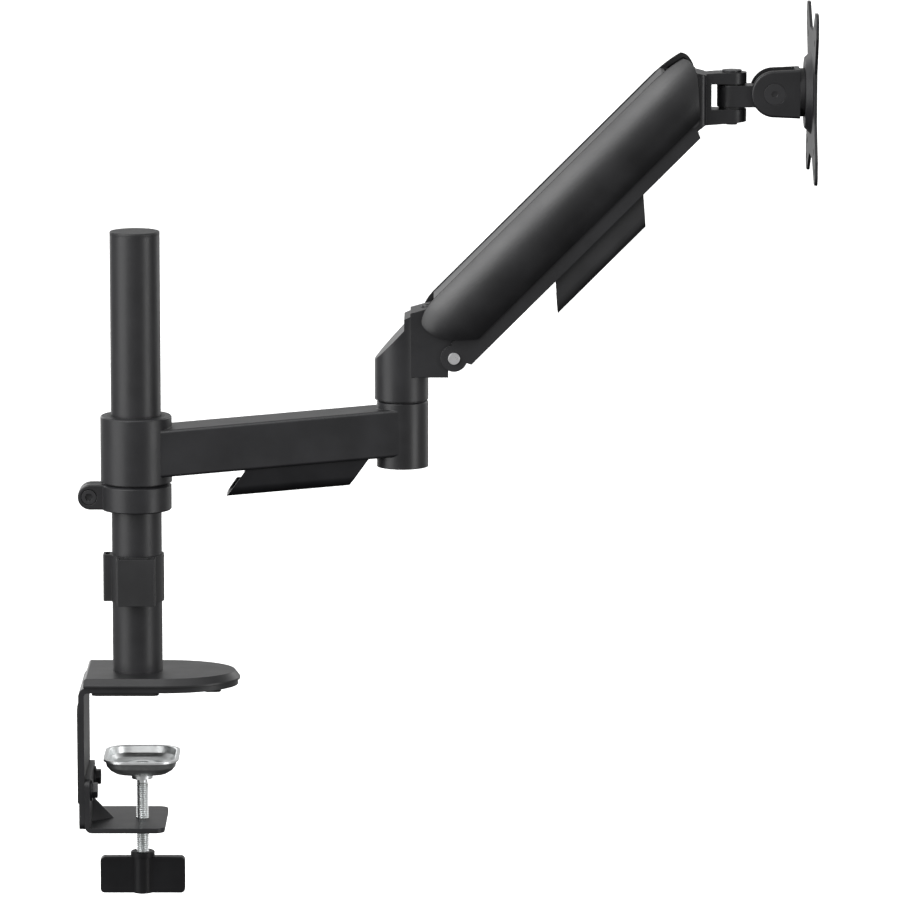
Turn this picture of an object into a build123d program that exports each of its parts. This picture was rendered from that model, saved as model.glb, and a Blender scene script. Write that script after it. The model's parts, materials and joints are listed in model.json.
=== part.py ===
"""Desk-clamp monitor arm: pole, swivelling lower arm, gas-spring upper arm and tilting VESA head.

Millimetres, +Z up. The origin is on the pole's axis at the desk's surface. +X points towards the
screen, and every piece is laid out about the plane Y = 0. The arm is drawn with its upper arm raised.
"""

import os
from math import cos, hypot, radians, sin, tan

from build123d import *

os.makedirs("parts", exist_ok=True)

# ---------------------------------------------------------------- driving dimensions

FIT = 0.05  # radial clearance of a running fit
SHEET = 4.0  # steel of the clamp frame

# desk base and clamp
BASE_HALF = 38.0
BASE_LEFT = -36.5
BASE_NOSE_START = 19.0
BASE_NOSE = 72.0
PAD_T = 2.0
FRAME_TOP = PAD_T + SHEET
COVER_TOP = 12.0
FLANGE_IN = -36.3
FLANGE_OUT = FLANGE_IN - SHEET
FLANGE_FOOT = -96.0
BEND_R = 2.5
JAW_T = 3.5
JAW_TOP = -94.5
JAW_RIGHT = 19.4
JAW_FLANGE_TOP = -60.0
JAW_HALF = 37.0
BOLT_Y = 23.0
BOLT_Z = -70.0

# clamp screw
SCREW_X = 2.4
SCREW_R = 4.5
PAD_RIM_Z = -48.6
PAD_UNDER_Z = -59.6
KNOB_TOP = -122.5
KNOB_FOOT = -148.4
KNOB_HALF = 29.9

# pole
POLE_R = 17.5
POLE_WALL = 2.0
POLE_TOP = 320.6
CAP_T = 2.4
CLIP_Z0 = 62.0
CLIP_Z1 = 95.0
COLLAR_Z0 = 126.8
COLLAR_Z1 = 145.6
COLLAR_R = 24.6

# lower arm
HUB_R = 25.0
HUB_Z0 = 146.5
HUB_Z1 = 193.1
ELBOW_X = 186.5
ELBOW_R = 18.0
ELBOW_Z0 = 157.3
ELBOW_Z1 = 203.9
BEAM_HALF = 17.8
BEAM_SLOPE = 5.1
BEAM_LOW = 149.9
BEAM_H = 33.3
SHAFT_R = 9.0

# elbow bracket and parallelogram: pivots A and C carry the lower link, B and D the upper one
BRACKET_Z0 = 205.0
DRUM_X = 185.8
DRUM_R = 18.8
BRACKET_HALF = 17.5
PIVOT_A = (222.4, 236.1)
PIVOT_RISE = (-4.0, 28.0)
PIVOT_B = (PIVOT_A[0] + PIVOT_RISE[0], PIVOT_A[1] + PIVOT_RISE[1])
PITCH = 45.0
LINK = 233.5
PIVOT_C = (PIVOT_A[0] + LINK * cos(radians(PITCH)), PIVOT_A[1] + LINK * sin(radians(PITCH)))
PIVOT_D = (PIVOT_C[0] + PIVOT_RISE[0], PIVOT_C[1] + PIVOT_RISE[1])
PIN_R = 3.0
EAR_R = 8.0
LOWER_IN = 17.8
LOWER_OUT = 19.8
UPPER_IN = 20.1
UPPER_OUT = 22.1
COVER_BULGE = 30.6
COVER_WALL = 2.0

# gas spring
SPRING_FOOT = (219.0, 249.5)
SPRING_TOP_U = 198.0
SPRING_TOP_V = 6.0
SPRING_R = 9.0
ROD_R = 4.0

# head
SWIVEL_X = 415.1
SWIVEL_R = 10.3
TONGUE_Z0 = 410.4
TONGUE_Z1 = 425.4
SLOT_X = 400.7
SLOT_Z0 = 408.7
SLOT_Z1 = 426.4
TILT_X = 444.3
HEAD_Z = 419.9
CHEEK_R = 16.2
CHEEK_IN = 10.7
CHEEK_OUT = 14.5
WEB_X = 462.0
PLATE_X = 470.0
PLATE_T = 2.0
PLATE_HALF = 59.0
VESA_SMALL = 75.0
VESA_LARGE = 100.0
VESA_HOLE_R = 2.5


# ---------------------------------------------------------------- shared planes and outlines

ARM_COS = cos(radians(PITCH))
ARM_SIN = sin(radians(PITCH))
ARM_PLANE = Plane(origin=(PIVOT_A[0], 0, PIVOT_A[1]), x_dir=(ARM_COS, 0, ARM_SIN), z_dir=(0, -1, 0))


def arm_uv(point):
    """A point (x, z) as (u along the upper arm, v square to it), measured from pivot A."""
    dx = point[0] - PIVOT_A[0]
    dz = point[1] - PIVOT_A[1]
    return (dx * ARM_COS + dz * ARM_SIN, dz * ARM_COS - dx * ARM_SIN)


B_UV = arm_uv(PIVOT_B)
D_UV = arm_uv(PIVOT_D)
SPRING_FOOT_UV = arm_uv(SPRING_FOOT)


def closed(points):
    """A filled polygon on the current sketch plane."""
    with BuildLine() as outline:
        Polyline(*points, close=True)
    make_face(outline.edges())


def disc_at(point, radius, mode=Mode.ADD):
    with Locations(point):
        Circle(radius, mode=mode)


def base_outline(inset):
    """D-shaped outline of the base: straight sides and a half-ellipse nose."""
    left = BASE_LEFT + inset
    half = BASE_HALF - inset
    with BuildLine() as outline:
        EllipticalCenterArc((BASE_NOSE_START, 0), BASE_NOSE - BASE_NOSE_START - inset, half, -90, arc_size=180)
        Polyline((BASE_NOSE_START, half), (left, half), (left, -half), (BASE_NOSE_START, -half))
    make_face(outline.edges())


def across(half):
    """Extrude the pending side-view sketch equally to both sides of Y = 0."""
    extrude(amount=half, both=True)


def dish_level(z, width, corner):
    """Draws the pressing dish's outline at height z; it is 10 mm longer across the arm than along it."""
    with BuildSketch(Plane.XY.offset(z)) as level:
        with Locations((SCREW_X, 0)):
            RectangleRounded(width, width + 10, corner)
    add(level.sketch)


# ---------------------------------------------------------------- desk base

with BuildPart() as desk_pad:
    with BuildSketch(Plane.XY):
        with Locations((-7.5, 0)):
            RectangleRounded(47, 72, 4)
    extrude(amount=PAD_T)
desk_pad.part.label = "desk_pad"
export_step(desk_pad.part, "parts/desk_pad.step")

with BuildPart() as nose_pad:
    with BuildSketch(Plane.XY):
        with Locations((53, 0)):
            RectangleRounded(12, 44, 4)
    extrude(amount=PAD_T)
nose_pad.part.label = "nose_pad"
export_step(nose_pad.part, "parts/nose_pad.step")

BEND_X = FLANGE_IN + BEND_R
BEND_Z = PAD_T - BEND_R
with BuildPart() as clamp_frame:
    with BuildSketch(Plane.XY.offset(PAD_T)):
        base_outline(1.5)
        with Locations((BEND_X - 10, 0)):
            Rectangle(20, 90, mode=Mode.SUBTRACT)
    extrude(amount=SHEET)
    with BuildSketch(Plane.XZ):
        with BuildLine():
            CenterArc((BEND_X, BEND_Z), BEND_R + SHEET, 90, 90)
            Polyline((FLANGE_OUT, BEND_Z), (FLANGE_OUT, FLANGE_FOOT), (FLANGE_IN, FLANGE_FOOT))
            Line((FLANGE_IN, FLANGE_FOOT), (FLANGE_IN, BEND_Z))
            CenterArc((BEND_X, BEND_Z), BEND_R, 90, 90)
            Line((BEND_X, PAD_T), (BEND_X, FRAME_TOP))
        make_face()
    across(BASE_HALF - 1.5)
    fillet(clamp_frame.edges().filter_by(Axis.X).group_by(Axis.Z)[0], 5)
    with BuildSketch(Plane.YZ.offset(FLANGE_OUT)):
        with Locations((-BOLT_Y, BOLT_Z), (BOLT_Y, BOLT_Z)):
            Circle(3.0)
    extrude(amount=SHEET, mode=Mode.SUBTRACT)
    with Locations(Plane.XY.offset(FRAME_TOP)):
        Hole(4.0, SHEET)
    with BuildSketch(Plane.XY.offset(PAD_T)):
        Circle(7.5)
    extrude(amount=3.5, taper=45, mode=Mode.SUBTRACT)
clamp_frame.part.label = "clamp_frame"
export_step(clamp_frame.part, "parts/clamp_frame.step")

with BuildPart() as edge_strip:
    with BuildSketch(Plane.YZ.offset(FLANGE_OUT - 1.0)):
        with Locations((0, -43)):
            RectangleRounded(70, 70, 5)
    extrude(amount=1.0)
edge_strip.part.label = "edge_strip"
export_step(edge_strip.part, "parts/edge_strip.step")

RIM_RISE = 3.6
RIM_RUN = 4.6
with BuildPart() as base_cover:
    with BuildSketch(Plane.XY.offset(FRAME_TOP)):
        base_outline(0)
    extrude(amount=COVER_TOP - FRAME_TOP)
    rim = base_cover.faces().sort_by(Axis.Z)[-1]
    sides = [e for e in rim.edges() if e.center().X > BASE_LEFT + 1]
    chamfer(sides, length=RIM_RISE, length2=RIM_RUN, reference=rim)
    fillet(base_cover.faces().sort_by(Axis.Z)[-1].edges().sort_by(Axis.X)[0], 2.2)
    with BuildSketch(Plane.XY.offset(FRAME_TOP)):
        base_outline(6.5)
    extrude(amount=COVER_TOP - FRAME_TOP - 2.2, mode=Mode.SUBTRACT)
    with BuildSketch(Plane.XY.offset(FRAME_TOP)):
        Circle(POLE_R + 3.5)
    extrude(amount=COVER_TOP - FRAME_TOP - 2.2)
    with Locations(Plane.XY.offset(COVER_TOP)):
        Hole(POLE_R + 0.1, 20)
base_cover.part.label = "base_cover"
export_step(base_cover.part, "parts/base_cover.step")

# ---------------------------------------------------------------- lower jaw

with BuildPart() as lower_jaw:
    with BuildSketch(Plane.XZ):
        closed(
            [
                (FLANGE_IN, JAW_FLANGE_TOP),
                (FLANGE_IN, JAW_TOP - JAW_T),
                (JAW_RIGHT, JAW_TOP - JAW_T),
                (JAW_RIGHT, JAW_TOP),
                (FLANGE_IN + JAW_T, JAW_TOP),
                (FLANGE_IN + JAW_T, JAW_FLANGE_TOP),
            ]
        )
    across(JAW_HALF)
    fillet(lower_jaw.edges().filter_by(Axis.Y).group_by(Axis.Z)[0].sort_by(Axis.X)[0], 5)
    fillet(lower_jaw.edges().filter_by(Axis.Z).group_by(Axis.X)[-1], 7)
    fillet(lower_jaw.edges().filter_by(Axis.X).group_by(Axis.Z)[-1], 5)
    # pressed gusset across the inside of the bend
    with BuildSketch(Plane.XY.offset(JAW_TOP)):
        closed([(FLANGE_IN + JAW_T, -13), (FLANGE_IN + JAW_T, 13), (-17.8, 1.2), (-17.8, -1.2)])
    with BuildSketch(Plane.XY.offset(-80)):
        with Locations((FLANGE_IN + JAW_T, 0)):
            Rectangle(0.8, 2.4, align=(Align.MIN, Align.CENTER))
    loft(ruled=True)
    with BuildSketch(Plane.YZ.offset(FLANGE_IN)):
        with Locations((-BOLT_Y, BOLT_Z), (BOLT_Y, BOLT_Z)):
            SlotOverall(13, 6.6, rotation=90)
    extrude(amount=JAW_T, mode=Mode.SUBTRACT)
    with Locations(Location((SCREW_X, 0, JAW_TOP))):
        Hole(SCREW_R + FIT, JAW_T)
lower_jaw.part.label = "lower_jaw"
export_step(lower_jaw.part, "parts/lower_jaw.step")

JAW_FACE = FLANGE_IN + JAW_T
WASHER_T = 1.4
with BuildPart() as jaw_washers:
    with BuildSketch(Plane.YZ.offset(JAW_FACE)):
        with Locations((-BOLT_Y, BOLT_Z), (BOLT_Y, BOLT_Z)):
            Circle(7.5)
            Circle(3.2, mode=Mode.SUBTRACT)
    extrude(amount=WASHER_T)
jaw_washers.part.label = "jaw_washers"
export_step(jaw_washers.part, "parts/jaw_washers.step")

with BuildPart() as jaw_bolts:
    with BuildSketch(Plane.YZ.offset(JAW_FACE + WASHER_T)):
        with Locations((-BOLT_Y, BOLT_Z), (BOLT_Y, BOLT_Z)):
            RegularPolygon(5.0, 6, major_radius=False)
    extrude(amount=3.6)
    chamfer(jaw_bolts.faces().sort_by(Axis.X)[-1].edges(), 0.5)
    with BuildSketch(Plane.YZ.offset(FLANGE_OUT)):
        with Locations((-BOLT_Y, BOLT_Z), (BOLT_Y, BOLT_Z)):
            Circle(3.0)
    extrude(amount=SHEET + JAW_T + WASHER_T)
jaw_bolts.part.label = "jaw_bolts"
export_step(jaw_bolts.part, "parts/jaw_bolts.step")

# ---------------------------------------------------------------- clamp screw

SCREW_AXIS = Axis((SCREW_X, 0, 0), (0, 0, 1))
CUP_Z0 = PAD_UNDER_Z - 3.5
with BuildPart() as press_pad:
    dish_level(PAD_UNDER_Z, 37, 12)
    dish_level(PAD_UNDER_Z + 2.4, 44, 14)
    dish_level(PAD_UNDER_Z + 5.2, 48.5, 15.5)
    dish_level(PAD_RIM_Z - 1.6, 50.5, 16)
    loft(ruled=True)
    with BuildSketch(Plane.XY.offset(PAD_RIM_Z - 1.6)):
        with Locations((SCREW_X, 0)):
            RectangleRounded(53, 63, 17)
    extrude(amount=1.6)
    dish_level(PAD_UNDER_Z + 1.6, 33, 11)
    dish_level(PAD_UNDER_Z + 3.4, 40, 12.5)
    dish_level(PAD_UNDER_Z + 6.0, 45, 14)
    dish_level(PAD_RIM_Z, 47.5, 15)
    loft(ruled=True, mode=Mode.SUBTRACT)
    with BuildSketch(Plane.XY.offset(CUP_Z0)):
        with Locations((SCREW_X, 0)):
            Circle(10)
    extrude(amount=8)
    fillet(press_pad.edges().filter_by(GeomType.CIRCLE).sort_by(Axis.Z)[-1], 0.8)
    # the screw's ball end is trapped in the cup below a narrower mouth
    with BuildSketch(Plane.XZ):
        closed(
            [
                (SCREW_X, CUP_Z0),
                (SCREW_X + SCREW_R + 0.4, CUP_Z0),
                (SCREW_X + SCREW_R + 0.4, CUP_Z0 + 1.6),
                (SCREW_X + 7.4, CUP_Z0 + 1.6),
                (SCREW_X + 7.4, CUP_Z0 + 5.2),
                (SCREW_X + 5.4, CUP_Z0 + 6.6),
                (SCREW_X + 5.4, CUP_Z0 + 8),
                (SCREW_X, CUP_Z0 + 8),
            ]
        )
    revolve(axis=SCREW_AXIS, mode=Mode.SUBTRACT)
press_pad.part.label = "press_pad"
export_step(press_pad.part, "parts/press_pad.step")

with BuildPart() as clamp_screw:
    with BuildSketch(Plane.XZ):
        closed(
            [
                (SCREW_X, KNOB_FOOT + 2),
                (SCREW_X + SCREW_R, KNOB_FOOT + 2),
                (SCREW_X + SCREW_R, CUP_Z0 - 3),
                (SCREW_X + 7.5, CUP_Z0 - 3),
                (SCREW_X + 7.5, CUP_Z0 - 0.2),
                (SCREW_X + SCREW_R, CUP_Z0 - 0.2),
                (SCREW_X + SCREW_R, CUP_Z0 + 1.8),
                (SCREW_X + 6.6, CUP_Z0 + 1.8),
                (SCREW_X + 6.6, CUP_Z0 + 3.8),
                (SCREW_X + 4.8, CUP_Z0 + 5.0),
                (SCREW_X, CUP_Z0 + 5.0),
            ]
        )
    revolve(axis=SCREW_AXIS)
clamp_screw.part.label = "clamp_screw"
export_step(clamp_screw.part, "parts/clamp_screw.step")

KNOB_H = KNOB_TOP - KNOB_FOOT
with BuildPart() as clamp_knob:
    with BuildSketch(Plane.XZ):
        with Locations((SCREW_X, KNOB_FOOT + KNOB_H / 2)):
            RectangleRounded(2 * KNOB_HALF, KNOB_H, 3)
    across(4.2)
    fillet(clamp_knob.faces().filter_by(Axis.Y).edges(), 0.8)
    with BuildSketch(Plane.XY.offset(KNOB_FOOT)):
        with Locations((SCREW_X, 0)):
            Circle(7.2)
    extrude(amount=KNOB_H)
    with BuildSketch(Plane.XY.offset(KNOB_TOP)):
        with Locations((SCREW_X, 0)):
            Circle(8.5)
    extrude(amount=3.9)
    fillet(clamp_knob.edges().filter_by(GeomType.CIRCLE).group_by(Axis.Z)[-1], 0.8)
    with Locations(Location((SCREW_X, 0, KNOB_TOP + 3.9))):
        Hole(SCREW_R, KNOB_H + 1.9)
clamp_knob.part.label = "clamp_knob"
export_step(clamp_knob.part, "parts/clamp_knob.step")

# ---------------------------------------------------------------- pole

with BuildPart() as pole_tube:
    with BuildSketch(Plane.XY.offset(FRAME_TOP)):
        Circle(POLE_R)
        Circle(POLE_R - POLE_WALL, mode=Mode.SUBTRACT)
    extrude(amount=POLE_TOP - FRAME_TOP)
pole_tube.part.label = "pole_tube"
export_step(pole_tube.part, "parts/pole_tube.step")

with BuildPart() as pole_cap:
    with BuildSketch(Plane.XY.offset(POLE_TOP)):
        Circle(POLE_R)
    extrude(amount=CAP_T)
    fillet(pole_cap.edges().group_by(Axis.Z)[-1], 0.9)
    with BuildSketch(Plane.XY.offset(POLE_TOP)):
        Circle(POLE_R - POLE_WALL)
        Circle(POLE_R - POLE_WALL - 1.6, mode=Mode.SUBTRACT)
    extrude(amount=-10)
pole_cap.part.label = "pole_cap"
export_step(pole_cap.part, "parts/pole_cap.step")

with BuildPart() as pole_socket:
    with BuildSketch(Plane.XY.offset(FRAME_TOP)):
        Circle(POLE_R - POLE_WALL)
        Circle(4.0, mode=Mode.SUBTRACT)
    extrude(amount=20)
pole_socket.part.label = "pole_socket"
export_step(pole_socket.part, "parts/pole_socket.step")

with BuildPart() as pole_bolt:
    with BuildSketch(Plane.XZ):
        closed([(0, PAD_T), (7.5, PAD_T), (4.0, PAD_T + 3.5), (4.0, 24), (0, 24)])
    revolve(axis=Axis.Z)
    with BuildSketch(Plane.XY.offset(PAD_T)):
        RegularPolygon(2.5, 6, major_radius=False)
    extrude(amount=2.6, mode=Mode.SUBTRACT)
pole_bolt.part.label = "pole_bolt"
export_step(pole_bolt.part, "parts/pole_bolt.step")

CHANNEL_FACE = -27.0
with BuildPart() as pole_clip:
    with BuildSketch(Plane.XY.offset(CLIP_Z0)):
        Circle(POLE_R + 1.5)
        with Locations((0, -14)):
            Rectangle(27.2, 26)
        with Locations((-19.8, 0)):
            RectangleRounded(7.6, 13, 1.5)
        fillet(vertices().group_by(Axis.Y)[0], 1.6)
        Circle(POLE_R, mode=Mode.SUBTRACT)
        # cable channel between the pole and the front plate, open at the right behind the lip
        with Locations((0, -22.4)):
            RectangleRounded(23.2, 5.6, 1.2, mode=Mode.SUBTRACT)
        with Locations((11.6, -20.4)):
            Rectangle(6, 5.0, mode=Mode.SUBTRACT)
        with Locations((-20.4, 0)):
            RectangleRounded(3.2, 9.6, 1.0, mode=Mode.SUBTRACT)
        # mouth at the back, through which the ring snaps over the pole
        with Locations((4, POLE_R)):
            Rectangle(16, 12, mode=Mode.SUBTRACT)
    extrude(amount=CLIP_Z1 - CLIP_Z0)
pole_clip.part.label = "pole_clip"
export_step(pole_clip.part, "parts/pole_clip.step")

# ---------------------------------------------------------------- locking collar

LUG_X = -32.0
LUG_Z = (COLLAR_Z0 + COLLAR_Z1) / 2
LUG_R = (COLLAR_Z1 - COLLAR_Z0) / 2 - 0.5
LUG_HALF = 8.5
with BuildPart() as locking_collar:
    with BuildSketch(Plane.XZ):
        with Locations((LUG_X / 2, LUG_Z)):
            Rectangle(-LUG_X, 2 * LUG_R)
        disc_at((LUG_X, LUG_Z), LUG_R)
    across(LUG_HALF)
    fillet(locking_collar.faces().filter_by(Axis.Y).edges(), 1.0)
    with BuildSketch(Plane.XZ):
        closed(
            [
                (0, COLLAR_Z0),
                (COLLAR_R - 0.6, COLLAR_Z0),
                (COLLAR_R, COLLAR_Z0 + 0.6),
                (COLLAR_R, COLLAR_Z1 - 1.8),
                (COLLAR_R - 1.8, COLLAR_Z1),
                (0, COLLAR_Z1),
            ]
        )
    revolve(axis=Axis.Z)
    with BuildSketch(Plane.XY.offset(COLLAR_Z0)):
        Circle(POLE_R + FIT)
        with Locations((-30, 0)):
            Rectangle(30, 2.4)
    extrude(amount=COLLAR_Z1 - COLLAR_Z0, mode=Mode.SUBTRACT)
    with Locations(Location((LUG_X - 1, -LUG_HALF, LUG_Z), (90, 0, 0))):
        CounterBoreHole(3.2, 5.6, 4.2, 2 * LUG_HALF)
locking_collar.part.label = "locking_collar"
export_step(locking_collar.part, "parts/locking_collar.step")

with BuildPart() as collar_screw:
    with BuildSketch(Plane.XZ.offset(LUG_HALF)):
        disc_at((LUG_X - 1, LUG_Z), 5.2)
    extrude(amount=-4.2)
    with BuildSketch(Plane.XZ.offset(LUG_HALF)):
        with Locations((LUG_X - 1, LUG_Z)):
            RegularPolygon(2.5, 6, major_radius=False)
    extrude(amount=-2.6, mode=Mode.SUBTRACT)
    with BuildSketch(Plane.XZ.offset(LUG_HALF - 4.2)):
        disc_at((LUG_X - 1, LUG_Z), 3.0)
    extrude(amount=-17.5)
collar_screw.part.label = "collar_screw"
export_step(collar_screw.part, "parts/collar_screw.step")

with BuildPart() as collar_nut:
    with BuildSketch(Plane.XZ.offset(-LUG_HALF)):
        with Locations((LUG_X - 1, LUG_Z)):
            RegularPolygon(5.0, 6, major_radius=False)
            Circle(3.0, mode=Mode.SUBTRACT)
    extrude(amount=-4.6)
collar_nut.part.label = "collar_nut"
export_step(collar_nut.part, "parts/collar_nut.step")

with BuildPart() as glide_ring:
    with BuildSketch(Plane.XY.offset(COLLAR_Z1)):
        Circle(22.5)
        Circle(POLE_R + FIT, mode=Mode.SUBTRACT)
    extrude(amount=HUB_Z0 - COLLAR_Z1 - 0.1)
glide_ring.part.label = "glide_ring"
export_step(glide_ring.part, "parts/glide_ring.step")

# ---------------------------------------------------------------- lower arm

BEAM_TAN = tan(radians(BEAM_SLOPE))


def beam_low(x, lift=0.0):
    """A point on the beam's underside at x, raised by lift."""
    return (x, BEAM_LOW + x * BEAM_TAN + lift)


def runs_along_x(edge):
    return abs(edge.tangent_at(0.5).X) > 0.9


POCKETS = ((30, 70), (73, 117), (120, 158))
with BuildPart() as lower_arm:
    with BuildSketch(Plane.XZ):
        closed([beam_low(0), beam_low(ELBOW_X), beam_low(ELBOW_X, BEAM_H), beam_low(0, BEAM_H)])
    across(BEAM_HALF)
    fillet(lower_arm.edges().filter_by(runs_along_x), 2.0)
    for start, end in POCKETS:
        with BuildSketch(Plane.XZ):
            closed([beam_low(start, -1), beam_low(end, -1), beam_low(end, BEAM_H - 4), beam_low(start, BEAM_H - 4)])
        extrude(amount=BEAM_HALF - 3.5, both=True, mode=Mode.SUBTRACT)
    for centre, radius, low, high in ((0, HUB_R, HUB_Z0, HUB_Z1), (ELBOW_X, ELBOW_R, ELBOW_Z0, ELBOW_Z1)):
        with BuildSketch(Plane.XZ):
            closed(
                [
                    (centre, low),
                    (centre + radius, low),
                    (centre + radius, high - 0.8),
                    (centre + radius - 0.8, high),
                    (centre, high),
                ]
            )
        revolve(axis=Axis((centre, 0, 0), (0, 0, 1)))
    with Locations(Location((0, 0, HUB_Z1))):
        CounterBoreHole(POLE_R + 1.2, POLE_R + 3.0, 1.2, 60)
    with Locations(Location((ELBOW_X, 0, ELBOW_Z1))):
        Hole(SHAFT_R + 2.4, 60)
    with BuildSketch(Plane.XY.offset(ELBOW_Z0)):
        disc_at((ELBOW_X, 0), 15.2)
    extrude(amount=9.7, mode=Mode.SUBTRACT)
lower_arm.part.label = "lower_arm"
export_step(lower_arm.part, "parts/lower_arm.step")

with BuildPart() as pole_bushing:
    with BuildSketch(Plane.XY.offset(HUB_Z0 + 0.5)):
        Circle(POLE_R + 1.2)
    extrude(amount=HUB_Z1 - HUB_Z0 - 0.5)
    with BuildSketch(Plane.XY.offset(HUB_Z1 - 1.2)):
        Circle(POLE_R + 3.0)
    extrude(amount=1.2)
    with Locations(Location((0, 0, HUB_Z1))):
        Hole(POLE_R + FIT, 60)
pole_bushing.part.label = "pole_bushing"
export_step(pole_bushing.part, "parts/pole_bushing.step")

with BuildPart() as elbow_bushing:
    with BuildSketch(Plane.XY.offset(ELBOW_Z0 + 9.7)):
        disc_at((ELBOW_X, 0), SHAFT_R + 2.4)
    extrude(amount=ELBOW_Z1 - ELBOW_Z0 - 9.7)
    with BuildSketch(Plane.XY.offset(ELBOW_Z1)):
        disc_at((ELBOW_X, 0), ELBOW_R - 1.2)
    extrude(amount=0.9)
    with Locations(Location((ELBOW_X, 0, ELBOW_Z1 + 1))):
        Hole(SHAFT_R + FIT, 60)
elbow_bushing.part.label = "elbow_bushing"
export_step(elbow_bushing.part, "parts/elbow_bushing.step")


def along(angle):
    """Unit vector (x, 0, z) that rises at the given angle from +X."""
    return (cos(radians(angle)), 0, sin(radians(angle)))


CLIP_LENGTH = 86.0
CLIP_SKEW = 15.5
CLIP_DEPTH = 18.0
CLIP_HALF = 16.0
CLIP_WALL = 1.6


def clip_section(origin, angle):
    """Cross-section of a cable clip: a channel hanging from its plane's local line y = 0, slit on the far side."""
    with BuildSketch(Plane(origin=origin, x_dir=(0, 1, 0), z_dir=along(angle))) as section:
        RectangleRounded(2 * CLIP_HALF, 2 * CLIP_DEPTH, 7)
        inner_half = CLIP_HALF - CLIP_WALL
        RectangleRounded(2 * inner_half, 2 * (CLIP_DEPTH - CLIP_WALL), 7 - CLIP_WALL, mode=Mode.SUBTRACT)
        with Locations((0, CLIP_DEPTH - CLIP_WALL)):
            Rectangle(2 * inner_half, 2 * CLIP_DEPTH)
        with Locations((0, CLIP_DEPTH)):
            Rectangle(4 * CLIP_HALF, 2 * CLIP_DEPTH, mode=Mode.SUBTRACT)
        with Locations((CLIP_HALF, -6.1)):
            Rectangle(4 * CLIP_WALL, 7, mode=Mode.SUBTRACT)
    return section.sketch


def clip_outline(origin, angle, start):
    """Side outline of a cable clip: a parallelogram whose ends lean back along the arm."""
    with BuildSketch(Plane(origin=origin, x_dir=along(angle), z_dir=(0, -1, 0))) as outline:
        closed(
            [
                (start, 1),
                (start + CLIP_LENGTH, 1),
                (start + CLIP_LENGTH, 0),
                (start + CLIP_LENGTH - CLIP_SKEW, -CLIP_DEPTH),
                (start - CLIP_SKEW, -CLIP_DEPTH),
                (start, 0),
            ]
        )
    return outline.sketch


BEAM_ORIGIN = (0, 0, BEAM_LOW)
with BuildPart() as lower_arm_clip:
    extrude(clip_section(BEAM_ORIGIN, BEAM_SLOPE), amount=ELBOW_X)
    extrude(clip_outline(BEAM_ORIGIN, BEAM_SLOPE, 77.5), amount=CLIP_HALF + 1, both=True, mode=Mode.INTERSECT)
lower_arm_clip.part.label = "lower_arm_clip"
export_step(lower_arm_clip.part, "parts/lower_arm_clip.step")

# ---------------------------------------------------------------- elbow

BRACKET_TOP = PIVOT_B[1] + 7.0
with BuildPart() as elbow_bracket:
    with BuildSketch(Plane.XY.offset(BRACKET_Z0)):
        disc_at((DRUM_X, 0), DRUM_R)
    extrude(amount=BRACKET_TOP - BRACKET_Z0)
    with BuildSketch(Plane.XZ):
        closed(
            [
                (DRUM_X - DRUM_R - 1, BRACKET_Z0 - 1),
                (DRUM_X + DRUM_R + 2, BRACKET_Z0 - 1),
                (DRUM_X + DRUM_R + 2, BRACKET_TOP),
                (205.7, BRACKET_TOP),
                (187.7, 263.0),
                (187.7, 255.3),
                (DRUM_X - DRUM_R - 1, 232.0),
            ]
        )
    extrude(amount=DRUM_R + 1, both=True, mode=Mode.INTERSECT)
    with BuildSketch(Plane.XZ):
        closed(
            [
                (192, 222.3),
                (218.5, 222.3),
                (218.5, 229.6),
                (PIVOT_A[0], PIVOT_A[1] - 7.5),
                (PIVOT_A[0] + 7.5, PIVOT_A[1]),
                (PIVOT_B[0] + 7.5, PIVOT_B[1]),
                (PIVOT_B[0], BRACKET_TOP),
                (205.7, BRACKET_TOP),
                (192, 267.3),
            ]
        )
        disc_at(PIVOT_A, 7.5)
        disc_at(PIVOT_B, 7.5)
    across(BRACKET_HALF)
    # slot between the cheeks for the gas spring's foot and its adjuster
    with BuildSketch(Plane.XZ):
        closed([(200, 229), (235, 229), (235, 280), (209.5, 280), (209.5, 262), (200, 262)])
    extrude(amount=9, both=True, mode=Mode.SUBTRACT)
    with BuildSketch(Plane.XY.offset(BRACKET_Z0)):
        disc_at((ELBOW_X, 0), SHAFT_R)
    extrude(amount=222 - BRACKET_Z0, mode=Mode.SUBTRACT)
    for pivot in (PIVOT_A, PIVOT_B):
        with BuildSketch(Plane.XZ):
            disc_at(pivot, PIN_R)
        extrude(amount=BRACKET_HALF, both=True, mode=Mode.SUBTRACT)
    with Locations(Location((204.8, 0, BRACKET_TOP))):
        CounterBoreHole(3.2, 5.6, 2.5, 20)
elbow_bracket.part.label = "elbow_bracket"
export_step(elbow_bracket.part, "parts/elbow_bracket.step")

with BuildPart() as elbow_shaft:
    with BuildSketch(Plane.XZ):
        closed(
            [
                (ELBOW_X, 222),
                (ELBOW_X + SHAFT_R, 222),
                (ELBOW_X + SHAFT_R, 166.9),
                (ELBOW_X + 6, 166.9),
                (ELBOW_X + 6, 158.6),
                (ELBOW_X + 5.2, 157.8),
                (ELBOW_X, 157.8),
            ]
        )
    revolve(axis=Axis((ELBOW_X, 0, 0), (0, 0, 1)))
elbow_shaft.part.label = "elbow_shaft"
export_step(elbow_shaft.part, "parts/elbow_shaft.step")

with BuildPart() as elbow_washer:
    with BuildSketch(Plane.XY.offset(165.0)):
        with Locations((ELBOW_X, 0)):
            Circle(14.2)
            Circle(6.0, mode=Mode.SUBTRACT)
    extrude(amount=1.8)
elbow_washer.part.label = "elbow_washer"
export_step(elbow_washer.part, "parts/elbow_washer.step")

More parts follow.
